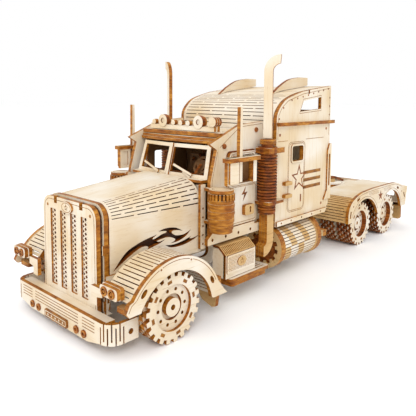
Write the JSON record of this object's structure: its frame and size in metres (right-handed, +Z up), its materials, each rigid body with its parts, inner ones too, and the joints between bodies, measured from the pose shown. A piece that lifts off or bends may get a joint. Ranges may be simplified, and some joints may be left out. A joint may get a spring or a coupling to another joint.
{
  "type": "wooden 3d jigsaw model",
  "caption": "Laser-cut plywood model of a long-nosed heavy tractor lorry with sleeper cab, twin upright exhausts, tandem rear axles and turning wheels, built from slotted flat and bent sheets.",
  "frame": {"origin": "on the table plane, under the centre of the whole model's footprint", "axes": "+Z up, -Y towards the nose, +X towards the driver's (left-hand) side, so the length runs along Y and the width along X"},
  "size_m": [0.072, 0.231, 0.0975],
  "materials": {
    "birch_face": "bare pale laser-cut plywood face with browned edges",
    "bent_sheet": "bare plywood cut with rows of slits so that it bends",
    "burnt_edge": "laser-browned plywood edges",
    "wheel_layers": "stacked plywood layers with browned teeth",
    "dowel": "turned bare dowel"
  },
  "bodies": {
    "chassis": {"rail_left": "bent_sheet", "rail_right": "bent_sheet", "floor_board": "bent_sheet", "rear_deck": "birch_face", "tail_board": "birch_face", "fifth_wheel": "birch_face", "grille_frame": "birch_face", "grille_lattice": "burnt_edge", "hood": "birch_face", "bumper": "birch_face", "bumper_shelf": "bent_sheet", "headlight_left": "birch_face", "headlight_right": "birch_face", "wing_plate_left": "birch_face", "wing_plate_right": "birch_face", "wing_skin_left": "bent_sheet", "wing_skin_right": "bent_sheet", "mud_flap_left": "bent_sheet", "mud_flap_right": "bent_sheet", "cab_side_left": "birch_face", "cab_side_right": "birch_face", "door_left": "birch_face", "door_right": "birch_face", "windscreen_frame": "birch_face", "dashboard": "bent_sheet", "visor": "burnt_edge", "cab_roof": "birch_face", "roof_lamps": "birch_face", "mirror_left": "birch_face", "mirror_right": "birch_face", "sleeper_side_left": "birch_face", "sleeper_side_right": "birch_face", "roof_fin_left": "birch_face", "roof_fin_right": "birch_face", "sleeper_roof": "birch_face", "sleeper_front": "bent_sheet", "sleeper_back": "birch_face", "stack_left": "birch_face", "stack_right": "birch_face", "silencer_left": "burnt_edge", "silencer_right": "burnt_edge", "fuel_tank_left": "bent_sheet", "fuel_tank_right": "bent_sheet", "air_filter_left": "bent_sheet", "air_filter_right": "bent_sheet", "toolbox_left": "birch_face", "toolbox_right": "birch_face", "rear_wing_plate_left": "birch_face", "rear_wing_plate_right": "birch_face", "rear_wing_skin_left": "bent_sheet", "rear_wing_skin_right": "bent_sheet"},
    "front_axle_set": {"front_axle": "dowel", "front_wheel_left": "wheel_layers", "front_wheel_right": "wheel_layers"},
    "mid_axle_set": {"mid_axle": "dowel", "mid_wheel_left": "wheel_layers", "mid_wheel_right": "wheel_layers"},
    "rear_axle_set": {"rear_axle": "dowel", "rear_wheel_left": "wheel_layers", "rear_wheel_right": "wheel_layers"}
  },
  "joints": [
    {"name": "front_axle_spin", "type": "hinge", "parent": "chassis", "child": "front_axle_set", "pos_m": [0, -0.0922, 0.01175], "axis": [1, 0, 0], "continuous": true},
    {"name": "mid_axle_spin", "type": "hinge", "parent": "chassis", "child": "mid_axle_set", "pos_m": [0, 0.0525, 0.01175], "axis": [1, 0, 0], "continuous": true},
    {"name": "rear_axle_spin", "type": "hinge", "parent": "chassis", "child": "rear_axle_set", "pos_m": [0, 0.0852, 0.01175], "axis": [1, 0, 0], "continuous": true}
  ]
}
